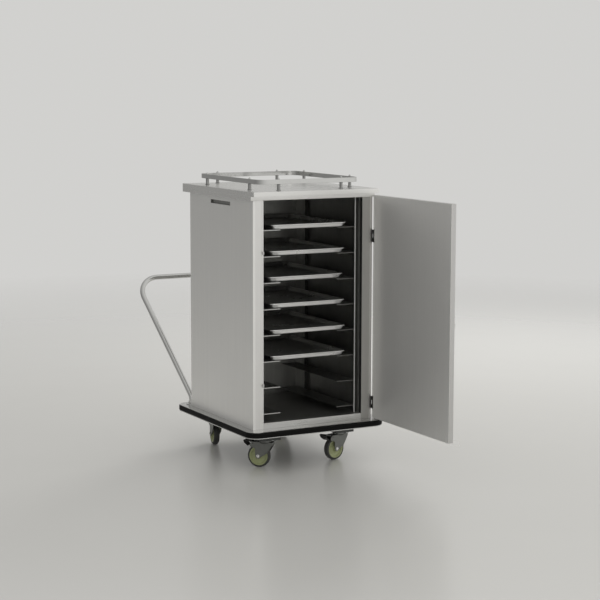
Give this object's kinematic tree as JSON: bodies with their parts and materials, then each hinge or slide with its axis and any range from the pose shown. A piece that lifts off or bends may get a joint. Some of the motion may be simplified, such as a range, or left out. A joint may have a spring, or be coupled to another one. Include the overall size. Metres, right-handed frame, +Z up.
{
  "type": "food service trolley",
  "caption": "Closed stainless tray trolley: tall insulated cabinet with a hinged door, trays on slides, a lid with a guard rail, a bumpered base, a push handle and braked swivel casters.",
  "frame": {"origin": "centre of the bounding box in plan, on the floor under the wheels", "axes": "+Z up, -Y is the front that the door closes, +X is the hinge side, +Y is the push handle's side; the door stands open at a right angle"},
  "size_m": [0.902, 2.132, 1.5575],
  "materials": {
    "panel_steel": "brushed",
    "post_steel": "brushed",
    "lid_steel": "polished",
    "liner_steel": "brushed",
    "foam": "matt",
    "slot_steel": "dull",
    "deck_steel": "polished",
    "channel_steel": "polished",
    "bumper_rubber": "satin",
    "chassis_paint": "zinc plated",
    "rail_chrome": "polished",
    "handle_steel": "polished",
    "socket_steel": "polished",
    "rack_steel": "satin",
    "tray_aluminium": "satin",
    "door_steel": "brushed",
    "hinge_steel": "satin",
    "pull_steel": "polished",
    "catch_steel": "satin",
    "zinc_steel": "zinc plated",
    "tyre_rubber": "matt",
    "hub_nylon": "satin",
    "pedal_plastic": "satin"
  },
  "bodies": {
    "frame": {"back_panel": "panel_steel", "base_pan": "deck_steel", "bumper_channel": "channel_steel", "bumper_strip": "bumper_rubber", "caster_bolts": "zinc_steel", "caster_top_plates": "zinc_steel", "chassis_rails": "chassis_paint", "front_header": "panel_steel", "front_sill": "post_steel", "guard_rail": "rail_chrome", "guard_rail_nuts": "rail_chrome", "guard_rail_posts": "rail_chrome", "hand_slot_cup": "slot_steel", "handle_sockets": "socket_steel", "hinge_frame_leaves": "hinge_steel", "hinge_pins": "hinge_steel", "inner_liner": "liner_steel", "insulation_slabs": "foam", "left_front_post": "post_steel", "left_side_panel": "panel_steel", "left_tray_slides": "rack_steel", "magnetic_catches": "catch_steel", "push_handle": "handle_steel", "rack_uprights": "rack_steel", "right_front_post": "post_steel", "right_side_panel": "panel_steel", "right_tray_slides": "rack_steel", "top_lid": "lid_steel"},
    "door": {"door_outer_pan": "door_steel", "door_inner_sheet": "door_steel", "door_core": "foam", "hinge_door_leaves": "hinge_steel", "door_pull": "pull_steel"},
    "tray_1_body": {"tray_1": "tray_aluminium"},
    "tray_2_body": {"tray_2": "tray_aluminium"},
    "tray_3_body": {"tray_3": "tray_aluminium"},
    "tray_4_body": {"tray_4": "tray_aluminium"},
    "tray_5_body": {"tray_5": "tray_aluminium"},
    "tray_6_body": {"tray_6": "tray_aluminium"},
    "swivel_front_left": {"fork_front_left": "zinc_steel", "axle_front_left": "zinc_steel"},
    "wheel_front_left": {"tyre_front_left": "tyre_rubber", "hub_front_left": "hub_nylon"},
    "pedal_front_left": {"brake_pedal_front_left": "pedal_plastic"},
    "swivel_front_right": {"fork_front_right": "zinc_steel", "axle_front_right": "zinc_steel"},
    "wheel_front_right": {"tyre_front_right": "tyre_rubber", "hub_front_right": "hub_nylon"},
    "pedal_front_right": {"brake_pedal_front_right": "pedal_plastic"},
    "swivel_back_left": {"fork_back_left": "zinc_steel", "axle_back_left": "zinc_steel"},
    "wheel_back_left": {"tyre_back_left": "tyre_rubber", "hub_back_left": "hub_nylon"},
    "pedal_back_left": {"brake_pedal_back_left": "pedal_plastic"},
    "swivel_back_right": {"fork_back_right": "zinc_steel", "axle_back_right": "zinc_steel"},
    "wheel_back_right": {"tyre_back_right": "tyre_rubber", "hub_back_right": "hub_nylon"},
    "pedal_back_right": {"brake_pedal_back_right": "pedal_plastic"}
  },
  "joints": [
    {"name": "door_hinge", "type": "hinge", "parent": "frame", "child": "door", "pos_m": [0.364, -0.3205, 0.835], "axis": [0, 0, 1], "range_deg": [-90, 40]},
    {"name": "tray_1_slide", "type": "slide", "parent": "frame", "child": "tray_1_body", "axis": [0, -1, 0], "range_m": [0, 0.45]},
    {"name": "tray_2_slide", "type": "slide", "parent": "frame", "child": "tray_2_body", "axis": [0, -1, 0], "range_m": [0, 0.45]},
    {"name": "tray_3_slide", "type": "slide", "parent": "frame", "child": "tray_3_body", "axis": [0, -1, 0], "range_m": [0, 0.45]},
    {"name": "tray_4_slide", "type": "slide", "parent": "frame", "child": "tray_4_body", "axis": [0, -1, 0], "range_m": [0, 0.45]},
    {"name": "tray_5_slide", "type": "slide", "parent": "frame", "child": "tray_5_body", "axis": [0, -1, 0], "range_m": [0, 0.45]},
    {"name": "tray_6_slide", "type": "slide", "parent": "frame", "child": "tray_6_body", "axis": [0, -1, 0], "range_m": [0, 0.45]},
    {"name": "swivel_front_left_turn", "type": "hinge", "parent": "frame", "child": "swivel_front_left", "pos_m": [-0.226, -0.1875, 0.14], "axis": [0, 0, 1], "continuous": true},
    {"name": "wheel_front_left_spin", "type": "hinge", "parent": "swivel_front_left", "child": "wheel_front_left", "pos_m": [-0.25031, -0.16232, 0.0625], "axis": [-0.7193, -0.6947, 0], "continuous": true},
    {"name": "pedal_front_left_press", "type": "hinge", "parent": "swivel_front_left", "child": "pedal_front_left", "pos_m": [-0.27046, -0.14146, 0.132], "axis": [-0.7193, -0.6947, 0], "range_deg": [0, 12]},
    {"name": "swivel_front_right_turn", "type": "hinge", "parent": "frame", "child": "swivel_front_right", "pos_m": [0.226, -0.1875, 0.14], "axis": [0, 0, 1], "continuous": true},
    {"name": "wheel_front_right_spin", "type": "hinge", "parent": "swivel_front_right", "child": "wheel_front_right", "pos_m": [0.1919, -0.19537, 0.0625], "axis": [0.225, -0.9744, 0], "continuous": true},
    {"name": "pedal_front_right_press", "type": "hinge", "parent": "swivel_front_right", "child": "pedal_front_right", "pos_m": [0.16364, -0.2019, 0.132], "axis": [0.225, -0.9744, 0], "range_deg": [0, 12]},
    {"name": "swivel_back_left_turn", "type": "hinge", "parent": "frame", "child": "swivel_back_left", "pos_m": [-0.226, 0.4265, 0.14], "axis": [0, 0, 1], "continuous": true},
    {"name": "wheel_back_left_spin", "type": "hinge", "parent": "swivel_back_left", "child": "wheel_back_left", "pos_m": [-0.21813, 0.4606, 0.0625], "axis": [-0.9744, 0.225, 0], "continuous": true},
    {"name": "pedal_back_left_press", "type": "hinge", "parent": "swivel_back_left", "child": "pedal_back_left", "pos_m": [-0.2116, 0.48886, 0.132], "axis": [-0.9744, 0.225, 0], "range_deg": [0, 12]},
    {"name": "swivel_back_right_turn", "type": "hinge", "parent": "frame", "child": "swivel_back_right", "pos_m": [0.226, 0.4265, 0.14], "axis": [0, 0, 1], "continuous": true},
    {"name": "wheel_back_right_spin", "type": "hinge", "parent": "swivel_back_right", "child": "wheel_back_right", "pos_m": [0.21992, 0.46097, 0.0625], "axis": [-0.9848, -0.1736, 0], "continuous": true},
    {"name": "pedal_back_right_press", "type": "hinge", "parent": "swivel_back_right", "child": "pedal_back_right", "pos_m": [0.21489, 0.48953, 0.132], "axis": [-0.9848, -0.1736, 0], "range_deg": [0, 12]}
  ]
}
